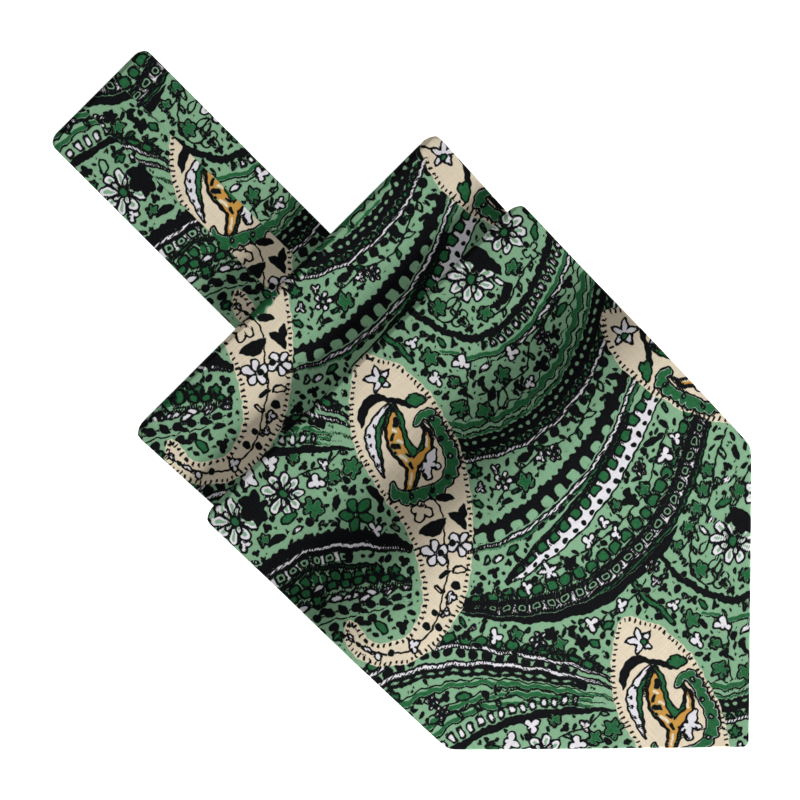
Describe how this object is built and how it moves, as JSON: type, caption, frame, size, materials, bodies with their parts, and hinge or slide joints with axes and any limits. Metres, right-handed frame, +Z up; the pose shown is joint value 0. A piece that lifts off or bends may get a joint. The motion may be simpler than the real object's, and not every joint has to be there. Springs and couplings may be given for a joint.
{
  "type": "ascot scarf",
  "caption": "Printed cotton ascot scarf folded flat, face up: a pointed front blade lies over the back blade and the pleated neck band shows at the square end.",
  "frame": {"origin": "on the surface the scarf lies on, under the middle of its bounding box", "axes": "+Z up, square to the surface; +Y along the scarf from the blade's point towards the square end of the neck band; +X across it"},
  "size_m": [0.1542, 0.32, 0.0181],
  "materials": {
    "front_cloth": "matte printed cotton",
    "back_cloth": "matte printed cotton",
    "band_cloth": "matte printed cotton",
    "fold_cloth": "matte printed cotton"
  },
  "bodies": {
    "root": {"front_blade": "front_cloth", "back_blade": "back_cloth", "neck_band": "band_cloth", "hidden_folds": "fold_cloth"}
  },
  "joints": []
}
